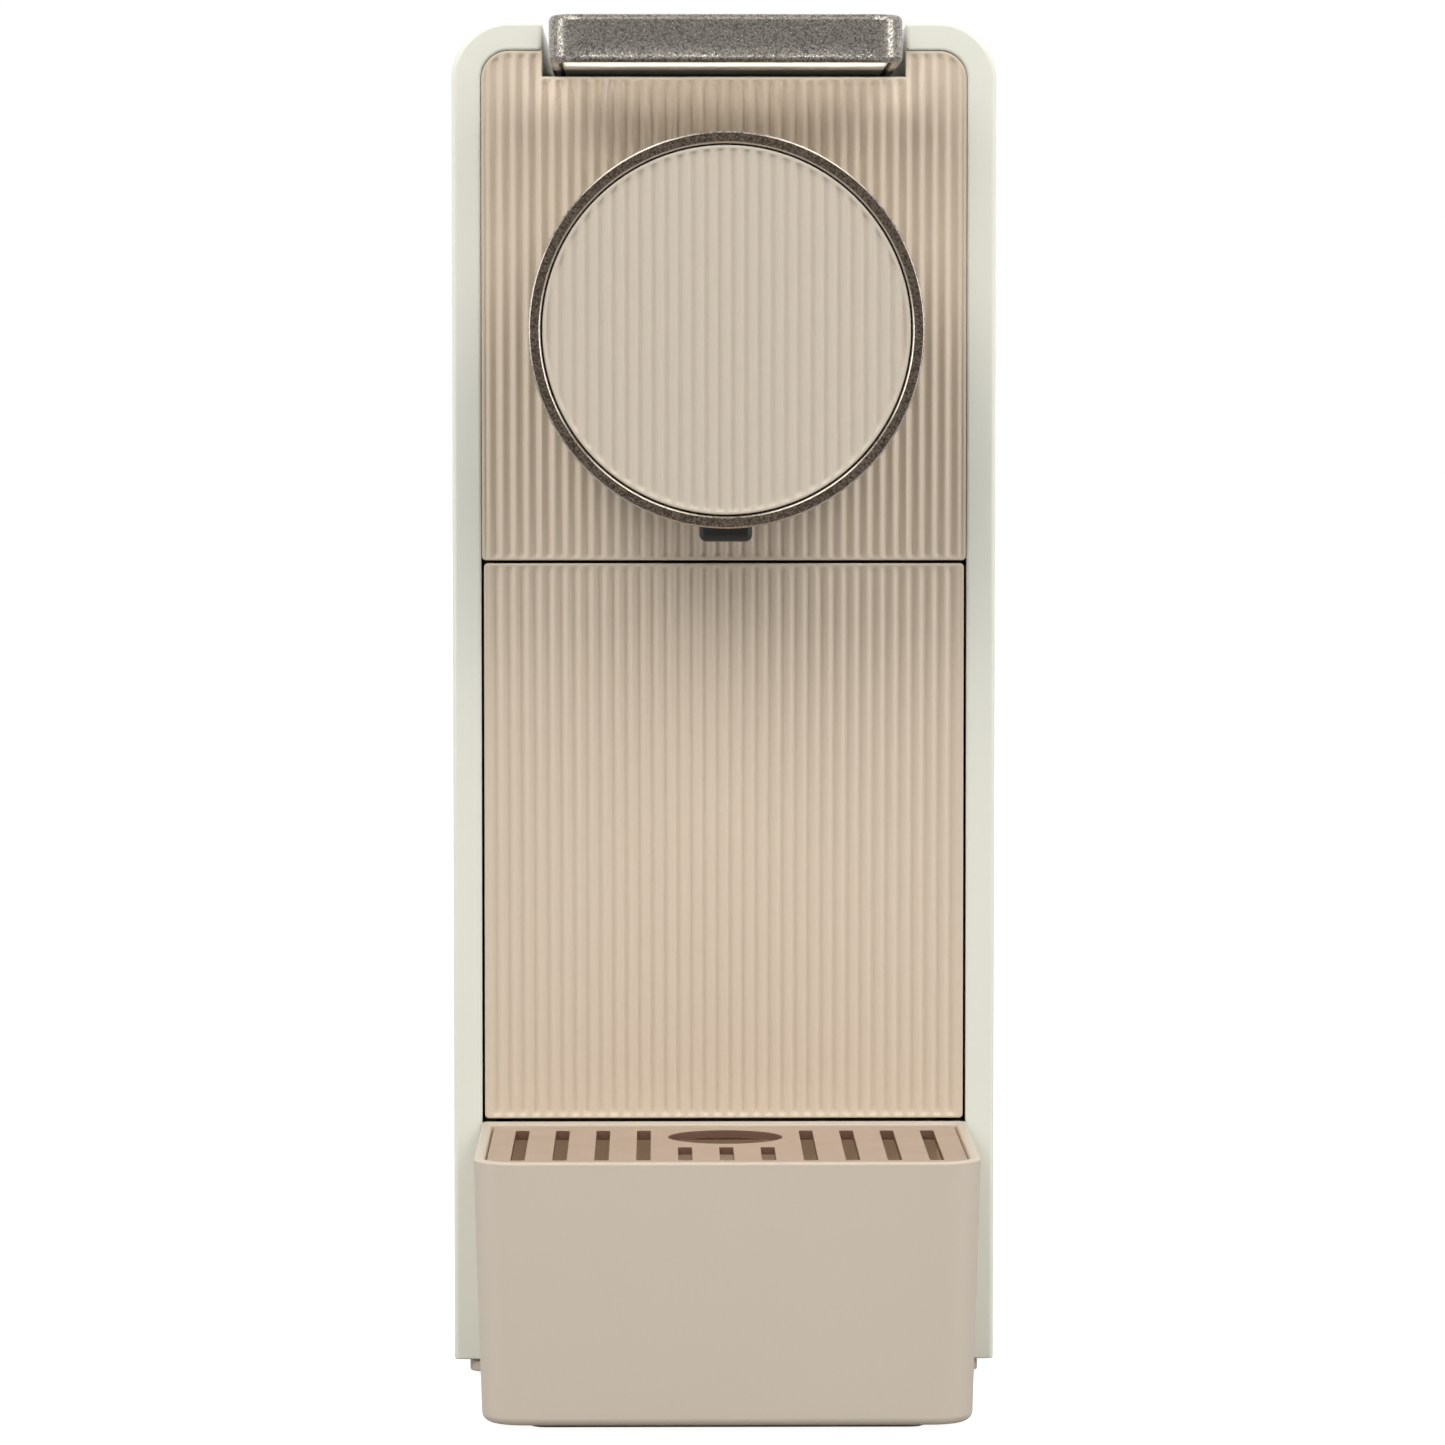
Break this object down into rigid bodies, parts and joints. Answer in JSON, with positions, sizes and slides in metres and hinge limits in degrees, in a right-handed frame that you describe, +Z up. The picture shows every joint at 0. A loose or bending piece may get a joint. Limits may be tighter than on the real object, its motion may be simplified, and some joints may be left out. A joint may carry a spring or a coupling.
{
  "type": "capsule coffee machine",
  "caption": "Slim upright capsule coffee machine with a lift-up lever, round brew head, slide-out drip tray with capsule bin, and a rear water tank.",
  "frame": {"origin": "centre of the footprint on the table, under the middle of the bounding box", "axes": "+Z up, -Y out of the front (the brew head and drip tray), +X to the right seen from the front"},
  "size_m": [0.106, 0.33, 0.2653],
  "materials": {
    "cream": "satin moulded plastic, warm greenish white",
    "beige": "satin moulded plastic, warm beige",
    "grille": "pearl moulded plastic, rose beige",
    "champagne": "champagne metallic lacquer with fine flake",
    "bronze": "dark bronze metallic lacquer",
    "black": "dark moulded plastic",
    "coil": "dark overmoulded coil",
    "smoke": "clear smoke-grey plastic",
    "rubber": "dark rubber",
    "silicone": "milky silicone",
    "steel": "plain steel",
    "aluminium": "cast aluminium",
    "board": "green circuit board"
  },
  "bodies": {
    "machine": {"base_tub": "beige", "brew_frame": "steel", "brew_hose": "silicone", "button_board": "board", "chassis_left": "black", "chassis_right": "black", "control_board": "board", "cord_gland": "black", "extraction_plate": "black", "flow_meter": "cream", "foot_front_left": "rubber", "foot_front_right": "rubber", "foot_rear_left": "rubber", "foot_rear_right": "rubber", "front_upper_panel": "beige", "head_barrel": "bronze", "head_disc": "beige", "head_ring": "bronze", "injector_tube": "steel", "inlet_hose": "silicone", "inner_shelf": "black", "left_cover": "cream", "lever_pivot_pin": "steel", "outlet_pipe": "black", "pivot_bush_left": "black", "pivot_bush_right": "black", "pressure_hose": "silicone", "pump_barrel": "black", "pump_coil": "coil", "pump_hose": "silicone", "pump_mount_front": "rubber", "pump_mount_rear": "rubber", "rear_cover": "cream", "rear_screw_left": "steel", "rear_screw_right": "steel", "rear_top_cover": "cream", "right_cover": "cream", "spout_nozzle": "black", "tank_seal": "silicone", "tank_socket": "black", "thermoblock": "aluminium", "thermostat": "black", "top_deck": "black"},
    "lever": {"lever_skin": "champagne", "lever_insert": "cream", "lever_cam_left": "steel", "lever_cam_right": "steel"},
    "carriage": {"brew_carriage": "black", "carriage_pin_left": "steel", "carriage_pin_right": "steel"},
    "drawer": {"drip_tray": "beige", "container_panel": "beige", "capsule_bin": "black"},
    "grille": {"drip_grille": "grille"},
    "tank": {"water_tank": "smoke", "tank_lid_pin": "steel", "tank_valve": "black"},
    "tank_lid": {"tank_lid": "black"},
    "button_left": {"button_left": "champagne"},
    "button_right": {"button_right": "champagne"}
  },
  "joints": [
    {"name": "lever_hinge", "type": "hinge", "parent": "machine", "child": "lever", "pos_m": [0, 0.02, 0.244], "axis": [-1, 0, 0], "range_deg": [0, 75]},
    {"name": "carriage_slide", "type": "slide", "parent": "machine", "child": "carriage", "axis": [0, 1, 0], "range_m": [0, 0.0301]},
    {"name": "drawer_slide", "type": "slide", "parent": "machine", "child": "drawer", "axis": [0, -1, 0], "range_m": [0, 0.15]},
    {"name": "grille_lift", "type": "slide", "parent": "drawer", "child": "grille", "axis": [0, 0, 1], "range_m": [0, 0.1]},
    {"name": "tank_lift", "type": "slide", "parent": "machine", "child": "tank", "axis": [0, 0, 1], "range_m": [0, 0.2]},
    {"name": "tank_lid_hinge", "type": "hinge", "parent": "tank", "child": "tank_lid", "pos_m": [0, 0.1635, 0.2522], "axis": [-1, 0, 0], "range_deg": [0, 100]},
    {"name": "button_left_press", "type": "slide", "parent": "machine", "child": "button_left", "axis": [0, 0, -1], "range_m": [0, 0.0015], "stiffness_N_per_m": 800, "springref_m": -0.001},
    {"name": "button_right_press", "type": "slide", "parent": "machine", "child": "button_right", "axis": [0, 0, -1], "range_m": [0, 0.0015], "stiffness_N_per_m": 800, "springref_m": -0.001}
  ],
  "couplings": [
    {"joint": "carriage_slide", "follows": "lever_hinge", "m_per_rad": 0.022918}
  ]
}
